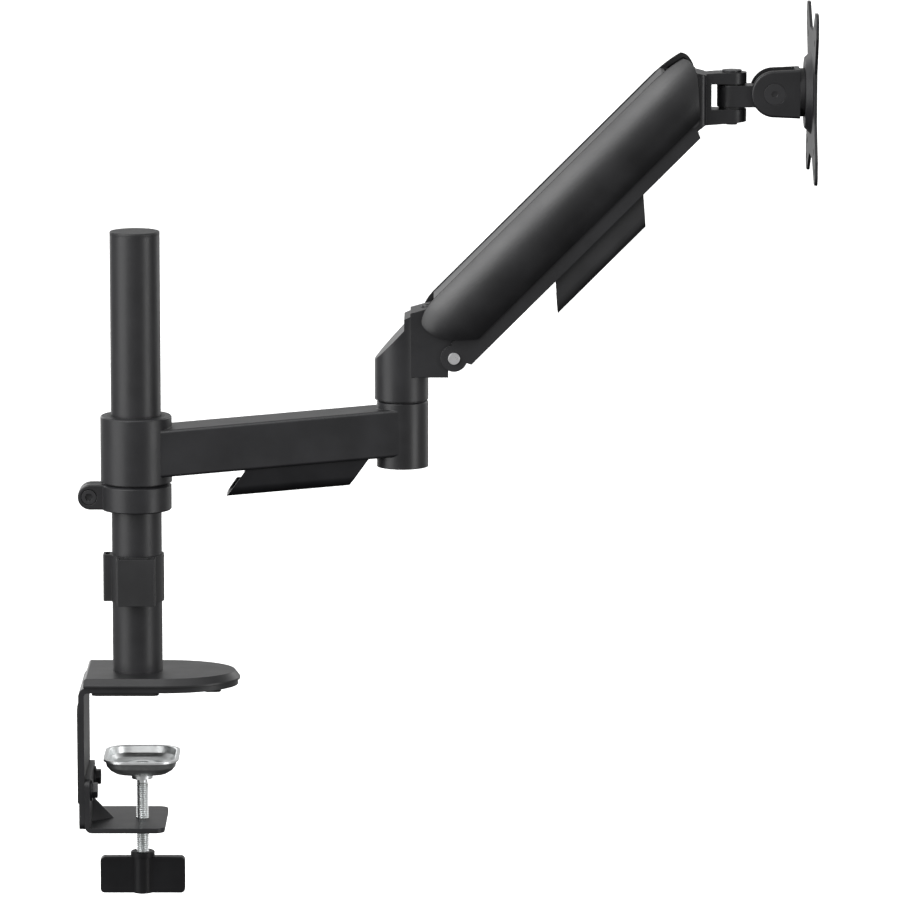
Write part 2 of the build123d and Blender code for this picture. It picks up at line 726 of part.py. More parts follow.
with BuildPart() as elbow_nut:
    with BuildSketch(Plane.XY.offset(158.8)):
        with Locations((ELBOW_X, 0)):
            RegularPolygon(9.5, 6, major_radius=False)
            Circle(6.0, mode=Mode.SUBTRACT)
    extrude(amount=6.2)
elbow_nut.part.label = "elbow_nut"
export_step(elbow_nut.part, "parts/elbow_nut.step")

ADJUST_X = 204.8
with BuildPart() as tension_screw:
    with BuildSketch(Plane.XY.offset(BRACKET_TOP - 2.5)):
        disc_at((ADJUST_X, 0), 5.2)
    extrude(amount=2.5)
    with BuildSketch(Plane.XY.offset(BRACKET_TOP)):
        with Locations((ADJUST_X, 0)):
            RegularPolygon(2.5, 6, major_radius=False)
    extrude(amount=-2.0, mode=Mode.SUBTRACT)
    with BuildSketch(Plane.XY.offset(BRACKET_TOP - 2.5)):
        disc_at((ADJUST_X, 0), 3.0)
    extrude(amount=-38)
tension_screw.part.label = "tension_screw"
export_step(tension_screw.part, "parts/tension_screw.step")

FOOT_PIN_R = 2.0
FOOT_X, FOOT_Z = SPRING_FOOT
with BuildPart() as spring_carriage:
    with BuildSketch(Plane.XZ):
        closed([(200.4, FOOT_Z - 6), (209.4, FOOT_Z - 6), (209.4, FOOT_Z + 6), (200.4, FOOT_Z + 6)])
    across(8.7)
    for side in (1, -1):
        with BuildSketch(Plane.XZ.offset(side * 8.7)):
            closed([(209.4, FOOT_Z - 4), (FOOT_X + 4, FOOT_Z - 4), (FOOT_X + 4, FOOT_Z + 4), (209.4, FOOT_Z + 4)])
        extrude(amount=-side * 3.2)
    with BuildSketch(Plane.XZ):
        disc_at(SPRING_FOOT, FOOT_PIN_R)
    extrude(amount=8.7, both=True, mode=Mode.SUBTRACT)
    with Locations(Location((ADJUST_X, 0, FOOT_Z + 6))):
        Hole(3.0, 20)
spring_carriage.part.label = "spring_carriage"
export_step(spring_carriage.part, "parts/spring_carriage.step")

with BuildPart() as spring_foot_pin:
    with BuildSketch(Plane.XZ):
        disc_at(SPRING_FOOT, FOOT_PIN_R)
    across(8.7)
spring_foot_pin.part.label = "spring_foot_pin"
export_step(spring_foot_pin.part, "parts/spring_foot_pin.step")


def cross_pin(point, reach, head_r, head_t):
    """A pin along Y with a low head at each end; point is (x, z)."""
    with BuildSketch(Plane.XZ) as shank:
        disc_at(point, PIN_R)
    extrude(shank.sketch, amount=reach, both=True)
    for side in (1, -1):
        with BuildSketch(Plane.XZ.offset(side * reach)) as head:
            disc_at(point, head_r)
        extrude(head.sketch, amount=side * head_t)


LOW_HEAD_T = 1.6
COVERED_HEAD_T = 0.9
PIN_HEAD_R = 4.1
for name, point, reach, head_t in (
    ("lower_elbow_pin", PIVOT_A, LOWER_OUT + 0.1, LOW_HEAD_T),
    ("upper_elbow_pin", PIVOT_B, UPPER_OUT + 0.1, COVERED_HEAD_T),
    ("lower_fork_pin", PIVOT_C, LOWER_OUT + 0.1, LOW_HEAD_T),
    ("upper_fork_pin", PIVOT_D, UPPER_OUT + 0.1, COVERED_HEAD_T),
):
    with BuildPart() as pin:
        cross_pin(point, reach, PIN_HEAD_R, head_t)
    pin.part.label = name
    export_step(pin.part, f"parts/{name}.step")

# ---------------------------------------------------------------- lower link, gas spring and clip

LOWER_WEB = -11.7
LINK_SHEET = 2.0
LINK_HOLE = PIN_R + FIT
C_UV = (LINK, 0)
with BuildPart() as lower_link:
    with BuildSketch(ARM_PLANE):
        closed([(5.5, LOWER_WEB), (229.5, LOWER_WEB), (231, -6), (236, 6), (228, 9), (6, 9), (3, -7)])
        disc_at((0, 0), EAR_R + 1.4)
        disc_at(C_UV, EAR_R - 1.5)
    across(LOWER_OUT)
    with BuildSketch(ARM_PLANE):
        closed([(-12, LOWER_WEB + LINK_SHEET), (250, LOWER_WEB + LINK_SHEET), (250, 20), (-12, 20)])
    extrude(amount=LOWER_IN, both=True, mode=Mode.SUBTRACT)
    with BuildSketch(ARM_PLANE):
        disc_at((0, 0), LINK_HOLE)
        disc_at(C_UV, LINK_HOLE)
    extrude(amount=LOWER_OUT, both=True, mode=Mode.SUBTRACT)
lower_link.part.label = "lower_link"
export_step(lower_link.part, "parts/lower_link.step")

WEB_ORIGIN = (PIVOT_A[0] - LOWER_WEB * ARM_SIN, 0, PIVOT_A[1] + LOWER_WEB * ARM_COS)
with BuildPart() as upper_arm_clip:
    extrude(clip_section(WEB_ORIGIN, PITCH), amount=LINK)
    extrude(clip_outline(WEB_ORIGIN, PITCH, 88.0), amount=CLIP_HALF + 1, both=True, mode=Mode.INTERSECT)
upper_arm_clip.part.label = "upper_arm_clip"
export_step(upper_arm_clip.part, "parts/upper_arm_clip.step")

# the gas spring lies on the line from its foot on the bracket to its top pin in the lower link
SPRING_TOP = (
    PIVOT_A[0] + SPRING_TOP_U * ARM_COS - SPRING_TOP_V * ARM_SIN,
    PIVOT_A[1] + SPRING_TOP_U * ARM_SIN + SPRING_TOP_V * ARM_COS,
)
SPRING_LONG = hypot(SPRING_TOP[0] - SPRING_FOOT[0], SPRING_TOP[1] - SPRING_FOOT[1])
SPRING_DIR = ((SPRING_TOP[0] - SPRING_FOOT[0]) / SPRING_LONG, 0, (SPRING_TOP[1] - SPRING_FOOT[1]) / SPRING_LONG)
SPRING_AXIS = Axis((SPRING_FOOT[0], 0, SPRING_FOOT[1]), SPRING_DIR)
SPRING_PLANE = Plane(origin=(SPRING_FOOT[0], 0, SPRING_FOOT[1]), x_dir=SPRING_DIR, z_dir=(0, -1, 0))
TUBE_START = 78.0
EYE_R = 7.0
with BuildPart() as gas_cylinder:
    with BuildSketch(SPRING_PLANE):
        closed(
            [
                (TUBE_START, ROD_R + FIT),
                (TUBE_START, SPRING_R - 1.5),
                (TUBE_START + 1.5, SPRING_R),
                (SPRING_LONG - 14, SPRING_R),
                (SPRING_LONG - 12, SPRING_R - 2),
                (SPRING_LONG - 12, 0),
                (SPRING_LONG - 16, 0),
                (SPRING_LONG - 16, SPRING_R - 1.5),
                (TUBE_START + 8, SPRING_R - 1.5),
                (TUBE_START + 8, ROD_R + FIT),
            ]
        )
    revolve(axis=SPRING_AXIS)
    with BuildSketch(SPRING_PLANE):
        with Locations((SPRING_LONG - 6, 0)):
            Rectangle(12.5, 8)
        disc_at((SPRING_LONG, 0), EYE_R)
        disc_at((SPRING_LONG, 0), PIN_R, mode=Mode.SUBTRACT)
    across(4)
gas_cylinder.part.label = "gas_cylinder"
export_step(gas_cylinder.part, "parts/gas_cylinder.step")

with BuildPart() as spring_top_pin:
    with BuildSketch(Plane.XZ):
        disc_at(SPRING_TOP, PIN_R)
    across(LOWER_IN)
spring_top_pin.part.label = "spring_top_pin"
export_step(spring_top_pin.part, "parts/spring_top_pin.step")

FOOT_EYE_HOLE = 5.8
with BuildPart() as gas_rod:
    with BuildSketch(SPRING_PLANE):
        closed([(6.4, 0), (6.4, ROD_R), (TUBE_START + 45, ROD_R), (TUBE_START + 45, 0)])
    revolve(axis=SPRING_AXIS)
    with BuildSketch(SPRING_PLANE):
        disc_at((0, 0), FOOT_EYE_HOLE + 1.6)
        disc_at((0, 0), FOOT_EYE_HOLE, mode=Mode.SUBTRACT)
    across(4)
gas_rod.part.label = "gas_rod"
export_step(gas_rod.part, "parts/gas_rod.step")

# ---------------------------------------------------------------- upper link and side covers

UPPER_WEB = 39.0
with BuildPart() as upper_link:
    with BuildSketch(ARM_PLANE):
        closed([(19, UPPER_WEB), (242, UPPER_WEB), (250, 30), (250, 14), (240, 12), (26, 12), (14, 14), (14, 30)])
        disc_at(B_UV, EAR_R + 1)
        disc_at(D_UV, EAR_R + 1)
    across(UPPER_OUT)
    with BuildSketch(ARM_PLANE):
        closed([(-10, UPPER_WEB - LINK_SHEET), (280, UPPER_WEB - LINK_SHEET), (280, 0), (-10, 0)])
    extrude(amount=UPPER_IN, both=True, mode=Mode.SUBTRACT)
    with BuildSketch(ARM_PLANE):
        disc_at(B_UV, LINK_HOLE)
        disc_at(D_UV, LINK_HOLE)
    extrude(amount=UPPER_OUT, both=True, mode=Mode.SUBTRACT)
upper_link.part.label = "upper_link"
export_step(upper_link.part, "parts/upper_link.step")

COVER_LOW = -2.3
COVER_HIGH = 40.0
COVER_MID = (COVER_LOW + COVER_HIGH) / 2
COVER_NEAR_END = 0.8
COVER_FAR_END = 261.5


def cover_outline(inset):
    """Side outline of a cover: straight edges joined by rounded ends that recede towards the bottom."""
    low = COVER_LOW + inset
    high = COVER_HIGH - inset
    near = COVER_NEAR_END + inset
    far = COVER_FAR_END - inset
    with BuildLine() as outline:
        Line((near + 21, low), (far - 23, low))
        Line((far - 23, low), (far - 5.1, 19))
        ThreePointArc((far - 5.1, 19), (far - 1.3, 24.6), (far, 30))
        ThreePointArc((far, 30), (far - 2.2, high - 3), (far - 9, high))
        Line((far - 9, high), (near + 9, high))
        ThreePointArc((near + 9, high), (near + 1.6, high - 5), (near, 28))
        ThreePointArc((near, 28), (near + 2.8, 18.4), (near + 8.6, 10.2))
        Line((near + 8.6, 10.2), (near + 21, low))
    make_face(outline.edges())


def cover_belly(inset):
    """Half-profile of the cover's bulge, to revolve about the arm's length through the cover's middle."""
    r = COVER_BULGE - inset
    edge = UPPER_OUT - 1 - inset
    near = COVER_NEAR_END - 4 + inset
    far = COVER_FAR_END + 14 - inset
    blunt = 24
    taper = 44
    with BuildLine() as outline:
        Line((near, COVER_MID), (near, COVER_MID + edge))
        EllipticalCenterArc((near + blunt, COVER_MID + edge), blunt, r - edge, 180, arc_size=-90)
        Line((near + blunt, COVER_MID + r), (far - taper, COVER_MID + r))
        EllipticalCenterArc((far - taper, COVER_MID + edge), taper, r - edge, 90, arc_size=-90)
        Line((far, COVER_MID + edge), (far, COVER_MID))
        Line((far, COVER_MID), (near, COVER_MID))
    make_face(outline.edges())


MID_POINT = (PIVOT_A[0] - COVER_MID * ARM_SIN, 0, PIVOT_A[1] + COVER_MID * ARM_COS)
COVER_AXIS = Axis(MID_POINT, (ARM_COS, 0, ARM_SIN))
for name, side in (("near_cover", 1), ("far_cover", -1)):
    with BuildPart() as hollow:
        with BuildSketch(ARM_PLANE):
            cover_belly(COVER_WALL)
        revolve(axis=COVER_AXIS)
        with BuildSketch(ARM_PLANE):
            cover_outline(COVER_WALL)
        extrude(amount=side * 40, mode=Mode.INTERSECT)
    with BuildPart() as cover:
        with BuildSketch(ARM_PLANE):
            cover_belly(0)
        revolve(axis=COVER_AXIS)
        with BuildSketch(ARM_PLANE.offset(side * (UPPER_OUT + 0.1))):
            cover_outline(0)
        extrude(amount=side * 20, mode=Mode.INTERSECT)
        add(hollow.part, mode=Mode.SUBTRACT)
        with BuildSketch(ARM_PLANE.offset(side * UPPER_OUT)):
            disc_at(B_UV, PIN_HEAD_R + 0.4)
            disc_at(D_UV, PIN_HEAD_R + 0.4)
        extrude(amount=side * (COVERED_HEAD_T + 0.3), mode=Mode.SUBTRACT)
    cover.part.label = name
    export_step(cover.part, f"parts/{name}.step")

# ---------------------------------------------------------------- end fork

FORK_TOP = 434.2
FORK_FOOT = 399.2
with BuildPart() as end_fork:
    with BuildSketch(Plane.XZ):
        closed([(380, 401), (376.3, 430), (383.5, 436.4), (397, 433.4), (397, 399), (390, 393.8)])
        disc_at(PIVOT_C, 7.5)
        disc_at(PIVOT_D, 7.5)
    across(BRACKET_HALF)
    fillet(end_fork.edges().filter_by(Axis.Z).group_by(Axis.X)[-1], 4)
    with BuildSketch(Plane.XZ):
        closed([(388, 432.9), (405, FORK_TOP), (430, FORK_TOP), (430, 400.4), (396, 397.8), (388, 396)])
    across(SWIVEL_R)
    with BuildSketch(Plane.XY.offset(390)):
        with Locations(((SWIVEL_X + 370) / 2, 0)):
            Rectangle(SWIVEL_X - 370, 2 * BRACKET_HALF)
        with Locations((SWIVEL_X - 5, 0)):
            Rectangle(10, 2 * SWIVEL_R)
        disc_at((SWIVEL_X, 0), SWIVEL_R)
    extrude(amount=60, mode=Mode.INTERSECT)
    with BuildSketch(Plane.XZ):
        closed([(SLOT_X, SLOT_Z0), (430, SLOT_Z0), (430, SLOT_Z1), (SLOT_X, SLOT_Z1)])
    extrude(amount=SWIVEL_R + 1, both=True, mode=Mode.SUBTRACT)
    for pivot in (PIVOT_C, PIVOT_D):
        with BuildSketch(Plane.XZ):
            disc_at(pivot, PIN_R)
        extrude(amount=BRACKET_HALF, both=True, mode=Mode.SUBTRACT)
    with Locations(Location((SWIVEL_X, 0, 440))):
        Hole(4.0, 60)
end_fork.part.label = "end_fork"
export_step(end_fork.part, "parts/end_fork.step")

with BuildPart() as swivel_bolt:
    with BuildSketch(Plane.XY.offset(FORK_FOOT - 1.5)):
        disc_at((SWIVEL_X, 0), 4.0)
    extrude(amount=FORK_TOP + 1.0 - FORK_FOOT + 1.5)
    with BuildSketch(Plane.XY.offset(FORK_TOP)):
        disc_at((SWIVEL_X, 0), 7.0)
    extrude(amount=1.6)
    fillet(swivel_bolt.edges().group_by(Axis.Z)[-1], 0.5)
swivel_bolt.part.label = "swivel_bolt"
export_step(swivel_bolt.part, "parts/swivel_bolt.step")

with BuildPart() as swivel_washers:
    with BuildSketch(Plane.XY.offset(SLOT_Z0)):
        with Locations((SWIVEL_X, 0)):
            Circle(SWIVEL_R - 1.2)
            Circle(4.0, mode=Mode.SUBTRACT)
    extrude(amount=TONGUE_Z0 - SLOT_Z0 - 0.05)
    with BuildSketch(Plane.XY.offset(TONGUE_Z1 + 0.05)):
        with Locations((SWIVEL_X, 0)):
            Circle(SWIVEL_R - 1.2)
            Circle(4.0, mode=Mode.SUBTRACT)
    extrude(amount=SLOT_Z1 - TONGUE_Z1 - 0.05)
swivel_washers.part.label = "swivel_washers"
export_step(swivel_washers.part, "parts/swivel_washers.step")

# ---------------------------------------------------------------- tilting head

KNUCKLE_R = 11.0
with BuildPart() as swivel_knuckle:
    with BuildSketch(Plane.XY.offset(TONGUE_Z0)):
        disc_at((SWIVEL_X, 0), SWIVEL_R)
        with Locations(((SWIVEL_X + TILT_X) / 2, 0)):
            Rectangle(TILT_X - SWIVEL_X, 2 * SWIVEL_R)
    extrude(amount=TONGUE_Z1 - TONGUE_Z0)
    with BuildSketch(Plane.XZ):
        disc_at((TILT_X, HEAD_Z), KNUCKLE_R)
    across(SWIVEL_R)
    with Locations(Location((SWIVEL_X, 0, 440))):
        Hole(4.0 + FIT, 60)
    with BuildSketch(Plane.XZ):
        disc_at((TILT_X, HEAD_Z), 4.0 + FIT)
    extrude(amount=SWIVEL_R, both=True, mode=Mode.SUBTRACT)
swivel_knuckle.part.label = "swivel_knuckle"
export_step(swivel_knuckle.part, "parts/swivel_knuckle.step")

with BuildPart() as tilt_bracket:
    with BuildSketch(Plane.XZ):
        disc_at((TILT_X, HEAD_Z), CHEEK_R)
        closed(
            [
                (TILT_X, HEAD_Z - CHEEK_R),
                (WEB_X, HEAD_Z - CHEEK_R - 0.8),
                (WEB_X, HEAD_Z + CHEEK_R + 0.8),
                (TILT_X, HEAD_Z + CHEEK_R),
            ]
        )
    across(CHEEK_OUT)
    outer = tilt_bracket.faces().filter_by(Axis.Y)
    fillet([e for face in outer for e in face.edges() if abs(e.center().X - WEB_X) > 1], 1.6)
    with BuildSketch(Plane.XZ):
        with Locations((TILT_X - 20, HEAD_Z)):
            Rectangle(2 * (WEB_X - 3.4 - TILT_X + 20), 60)
    extrude(amount=CHEEK_IN, both=True, mode=Mode.SUBTRACT)
    with BuildSketch(Plane.XZ):
        disc_at((TILT_X, HEAD_Z), 4.0)
    extrude(amount=CHEEK_OUT, both=True, mode=Mode.SUBTRACT)
    for side in (1, -1):
        with BuildSketch(Plane.XZ.offset(side * CHEEK_OUT)):
            disc_at((TILT_X, HEAD_Z), 7.5)
        extrude(amount=-side * 1.2, mode=Mode.SUBTRACT)
    with BuildSketch(Plane.YZ.offset(WEB_X)):
        disc_at((0, HEAD_Z), 5.0)
    extrude(amount=-5, mode=Mode.SUBTRACT)
tilt_bracket.part.label = "tilt_bracket"
export_step(tilt_bracket.part, "parts/tilt_bracket.step")

with BuildPart() as tilt_bolt:
    with BuildSketch(Plane.XZ):
        disc_at((TILT_X, HEAD_Z), 4.0)
    across(CHEEK_OUT - 1.2)
    for side in (1, -1):
        with BuildSketch(Plane.XZ.offset(side * (CHEEK_OUT - 1.2))):
            disc_at((TILT_X, HEAD_Z), 7.4)
        extrude(amount=side * 1.2)
        with BuildSketch(Plane.XZ.offset(side * CHEEK_OUT)):
            with Locations((TILT_X, HEAD_Z)):
                RegularPolygon(2.0, 6, major_radius=False)
        extrude(amount=-side * 1.0, mode=Mode.SUBTRACT)
tilt_bolt.part.label = "tilt_bolt"
export_step(tilt_bolt.part, "parts/tilt_bolt.step")

BOSS_X = 465.4
with BuildPart() as turn_washer:
    with BuildSketch(Plane.YZ.offset(WEB_X)):
        with Locations((0, HEAD_Z)):
            Circle(16.8)
            Circle(5.0, mode=Mode.SUBTRACT)
    extrude(amount=BOSS_X - WEB_X - 0.05)
turn_washer.part.label = "turn_washer"
export_step(turn_washer.part, "parts/turn_washer.step")

TURN_AXIS = Axis((0, 0, HEAD_Z), (1, 0, 0))
BOSS_R = 24.5
BOSS_FLARE = 4.5
NOTCH_OUT = 44.0
NOTCH_IN = 17.0
NOTCH_DEEP = 15.0
with BuildPart() as vesa_plate:
    with BuildSketch(Plane.YZ.offset(PLATE_X)):
        with Locations((0, HEAD_Z)):
            RectangleRounded(2 * PLATE_HALF, 2 * PLATE_HALF, 7)
        for quarter in range(4):
            with Locations(Location((0, HEAD_Z, 0), (0, 0, 90 * quarter))):
                Polygon(
                    (-NOTCH_OUT, PLATE_HALF + 1),
                    (-NOTCH_IN, PLATE_HALF - NOTCH_DEEP),
                    (NOTCH_IN, PLATE_HALF - NOTCH_DEEP),
                    (NOTCH_OUT, PLATE_HALF + 1),
                    align=None,
                    mode=Mode.SUBTRACT,
                )
        for spacing in (VESA_SMALL, VESA_LARGE):
            with Locations((0, HEAD_Z)):
                with GridLocations(spacing, spacing, 2, 2):
                    Circle(VESA_HOLE_R, mode=Mode.SUBTRACT)
    extrude(amount=PLATE_T)
    with BuildSketch(Plane.XZ):
        closed(
            [
                (BOSS_X, HEAD_Z),
                (BOSS_X, HEAD_Z + BOSS_R),
                (PLATE_X, HEAD_Z + BOSS_R + BOSS_FLARE),
                (PLATE_X, HEAD_Z),
            ]
        )
    revolve(axis=TURN_AXIS)
    with BuildSketch(Plane.XZ):
        closed(
            [
                (BOSS_X + PLATE_T, HEAD_Z),
                (BOSS_X + PLATE_T, HEAD_Z + BOSS_R - 1.2),
                (PLATE_X + PLATE_T, HEAD_Z + BOSS_R + BOSS_FLARE - 1.2),
                (PLATE_X + PLATE_T, HEAD_Z),
            ]
        )
    revolve(axis=TURN_AXIS, mode=Mode.SUBTRACT)
    with BuildSketch(Plane.YZ.offset(BOSS_X)):
        disc_at((0, HEAD_Z), 5.0 + FIT)
    extrude(amount=PLATE_T, mode=Mode.SUBTRACT)
vesa_plate.part.label = "vesa_plate"
export_step(vesa_plate.part, "parts/vesa_plate.step")

with BuildPart() as turn_rivet:
    with BuildSketch(Plane.XZ):
        closed(
            [
                (WEB_X - 6.1, HEAD_Z),
                (WEB_X - 6.1, HEAD_Z + 7.5),
                (WEB_X - 3.4, HEAD_Z + 7.5),
                (WEB_X - 3.4, HEAD_Z + 5.0),
                (BOSS_X + PLATE_T + 0.05, HEAD_Z + 5.0),
                (BOSS_X + PLATE_T + 0.05, HEAD_Z + 9.0),
                (BOSS_X + PLATE_T + 2.0, HEAD_Z + 9.0),
                (BOSS_X + PLATE_T + 3.0, HEAD_Z + 8.0),
                (BOSS_X + PLATE_T + 3.0, HEAD_Z),
            ]
        )
    revolve(axis=TURN_AXIS)
turn_rivet.part.label = "turn_rivet"
export_step(turn_rivet.part, "parts/turn_rivet.step")
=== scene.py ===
"""Looks of the desk-clamp monitor arm: materials, threaded screw, lights and camera round the CAD frame.

Metres, +Z up, origin on the pole's axis at the desk's surface, +X towards the screen. The CAD bodies are the
frame; every mesh made here rides on one of them.
"""

import json
import math

import bmesh
import bpy
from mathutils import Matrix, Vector


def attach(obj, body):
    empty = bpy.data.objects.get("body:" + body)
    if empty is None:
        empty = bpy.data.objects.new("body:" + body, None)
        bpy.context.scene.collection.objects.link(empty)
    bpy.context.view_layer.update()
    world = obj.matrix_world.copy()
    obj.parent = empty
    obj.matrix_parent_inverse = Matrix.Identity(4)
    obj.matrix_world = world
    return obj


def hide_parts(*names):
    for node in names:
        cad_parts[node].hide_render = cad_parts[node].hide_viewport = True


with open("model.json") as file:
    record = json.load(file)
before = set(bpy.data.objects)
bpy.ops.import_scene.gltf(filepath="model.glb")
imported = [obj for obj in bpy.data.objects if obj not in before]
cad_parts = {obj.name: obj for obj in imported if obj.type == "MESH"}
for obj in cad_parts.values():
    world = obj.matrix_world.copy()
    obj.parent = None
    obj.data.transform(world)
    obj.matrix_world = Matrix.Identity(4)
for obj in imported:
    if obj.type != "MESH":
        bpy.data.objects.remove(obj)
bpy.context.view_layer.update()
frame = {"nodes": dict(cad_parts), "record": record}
NODES = frame["nodes"]
MM = 0.001

# ---------------------------------------------------------------- node helpers


class Shader:
    """A material whose Principled shader is fed by procedural nodes in object space."""

    def __init__(self, name):
        self.material = bpy.data.materials.new(name)
        self.material.use_nodes = True
        self.tree = self.material.node_tree
        self.principled = self.tree.nodes["Principled BSDF"]
        self.coords = self.add("ShaderNodeTexCoord").outputs["Object"]

    def add(self, kind, **settings):
        """A new node of the given kind with its properties set."""
        node = self.tree.nodes.new(kind)
        for key, value in settings.items():
            setattr(node, key, value)
        return node

    def link(self, source, target):
        self.tree.links.new(source, target)

    def noise(self, scale, detail=3.0, roughness=0.55, stretch=None):
        """Noise of the given spatial frequency per metre; stretch squeezes it along chosen axes."""
        node = self.add("ShaderNodeTexNoise")
        node.inputs["Scale"].default_value = scale
        node.inputs["Detail"].default_value = detail
        node.inputs["Roughness"].default_value = roughness
        if stretch is None:
            self.link(self.coords, node.inputs["Vector"])
        else:
            mapping = self.add("ShaderNodeMapping")
            mapping.inputs["Scale"].default_value = stretch
            self.link(self.coords, mapping.inputs["Vector"])
            self.link(mapping.outputs["Vector"], node.inputs["Vector"])
        return node.outputs["Fac"]

    def ramp(self, factor, stops):
        """Colour ramp; stops are (position, grey or rgb)."""
        node = self.add("ShaderNodeValToRGB")
        elements = node.color_ramp.elements
        while len(elements) < len(stops):
            elements.new(0.5)
        for element, (position, colour) in zip(elements, stops):
            if isinstance(colour, (int, float)):
                colour = (colour, colour, colour)
            element.position = position
            element.color = (*colour, 1.0)
        self.link(factor, node.inputs["Fac"])
        return node.outputs["Color"]

    def bump(self, height, strength, distance, bevel):
        """Feeds a bump of the height socket, over edges softened by bevel, into the shader's normal."""
        node = self.add("ShaderNodeBump")
        node.inputs["Strength"].default_value = strength
        node.inputs["Distance"].default_value = distance
        self.link(height, node.inputs["Height"])
        soft = self.add("ShaderNodeBevel", samples=6)
        soft.inputs["Radius"].default_value = bevel
        self.link(soft.outputs["Normal"], node.inputs["Normal"])
        self.link(node.outputs["Normal"], self.principled.inputs["Normal"])

    def feed(self, socket, value):
        """Links a socket, or sets a plain number or colour, on one of the Principled shader's inputs."""
        target = self.principled.inputs[socket]
        if isinstance(value, bpy.types.NodeSocket):
            self.link(value, target)
        else:
            target.default_value = value


def coated(name, base, rough, grain, grain_depth, bevel, specular):
    """Painted, cast or moulded black finish: faint mottling, grainy bump and slightly burnished edges."""
    shader = Shader(name)
    mottle = shader.noise(35.0, 4.0)
    fine = shader.noise(grain, 2.0)
    dark = [c * 0.82 for c in base]
    light = [c * 1.22 for c in base]
    colour = shader.ramp(mottle, [(0.35, dark), (0.68, light)])
    shader.feed("Base Color", colour)
    shader.feed("Roughness", shader.ramp(mottle, [(0.3, rough - 0.04), (0.7, rough + 0.04)]))
    shader.feed("Specular IOR Level", specular)
    shader.bump(fine, 0.35, grain_depth, bevel)
    return shader.material


def plated(name, base, rough, brush, grain_depth, bevel):
    """Plated or ground metal: fine brushing along one direction and cloudy variation."""
    shader = Shader(name)
    cloud = shader.noise(60.0, 4.0)
    line = shader.noise(500.0, 3.0, 0.6, brush)
    dark = [c * 0.88 for c in base]
    shader.feed("Base Color", shader.ramp(cloud, [(0.3, dark), (0.65, base)]))
    shader.feed("Metallic", 1.0)
    shader.feed("Roughness", shader.ramp(line, [(0.3, rough - 0.03), (0.7, rough + 0.05)]))
    shader.bump(line, 0.15, grain_depth, bevel)
    return shader.material


# name: base colour, roughness, grain per metre, grain depth, edge bevel, specular level
COATED = {
    "powder_black_steel": ((0.013, 0.013, 0.0145), 0.42, 2600.0, 0.00006, 0.0005, 0.5),
    "cast_black_alloy": ((0.012, 0.012, 0.0135), 0.40, 2200.0, 0.00006, 0.0006, 0.5),
    "plastic_black": ((0.013, 0.013, 0.014), 0.50, 3200.0, 0.00008, 0.0004, 0.5),
    "plastic_black_satin": ((0.010, 0.010, 0.011), 0.37, 3000.0, 0.00003, 0.0004, 0.58),
    "rubber_black": ((0.016, 0.016, 0.016), 0.78, 1800.0, 0.00012, 0.0004, 0.3),
    "black_fasteners": ((0.020, 0.020, 0.022), 0.36, 2000.0, 0.00003, 0.0003, 0.6),
    "plastic_black_dull": ((0.008, 0.008, 0.009), 0.40, 3200.0, 0.00006, 0.0004, 0.24),
}
# name: base colour, roughness, brushing stretch along x, y and z, brushing depth, edge bevel
PLATED = {
    "zinc_steel": ((0.88, 0.90, 0.90), 0.34, (1, 1, 1), 0.00001, 0.0003),
    "bright_steel": ((0.90, 0.90, 0.91), 0.30, (1, 0.15, 1), 0.00001, 0.0003),
}
FINISH = {name: coated(name, *values) for name, values in COATED.items()}
FINISH.update({name: plated(name, *values) for name, values in PLATED.items()})

slot_of = {part["node"]: part["material_slot"] for part in frame["record"]["subparts"]}
# pieces given a darker and less specular copy of the black plastic than the rest of their slot
DULL_PIECES = ("lower_arm_clip", "clamp_knob")
for name, node in NODES.items():
    node.data.materials.clear()
    node.data.materials.append(FINISH["plastic_black_dull" if name in DULL_PIECES else slot_of[name]])

# ---------------------------------------------------------------- clamp screw with its real thread, in mm

SCREW_X = 2.4
THREAD_R = 4.5
THREAD_PITCH = 1.5
THREAD_DEPTH = 0.85
THREAD_START = -146.4
THREAD_END = -68.4
CREST_FLAT = 0.12
FLANK_SHARE = 0.76
RELIEF_R = 3.7
SIDES = 40
SLICES_PER_PITCH = 10
# radius against height above the thread: relief, flange, neck and the ball end trapped in the pressing dish
SCREW_HEAD = (
    (RELIEF_R, -68.0),
    (RELIEF_R, -66.1),
    (7.5, -66.1),
    (7.5, -63.3),
    (4.5, -63.3),
    (4.5, -61.3),
    (6.6, -61.3),
    (6.6, -59.3),
    (4.8, -58.1),
)


def groove(phase):
    """Radius of a right-hand vee thread with narrow flats, at a phase from 0 to 1 along one pitch."""
    flank = abs(2 * (phase % 1.0) - 1)
    return THREAD_R - THREAD_DEPTH * min(1.0, max(0.0, (flank - CREST_FLAT) / FLANK_SHARE))


def ring_of(bm, radius_at, z):
    """One ring of vertices round the screw's axis; radius_at takes the turn from 0 to 1."""
    ring = []
    for step in range(SIDES):
        turn = step / SIDES
        radius = radius_at(turn)
        angle = 2 * math.pi * turn
        x = SCREW_X + radius * math.cos(angle)
        y = radius * math.sin(angle)
        ring.append(bm.verts.new((x * MM, y * MM, z * MM)))
    return ring


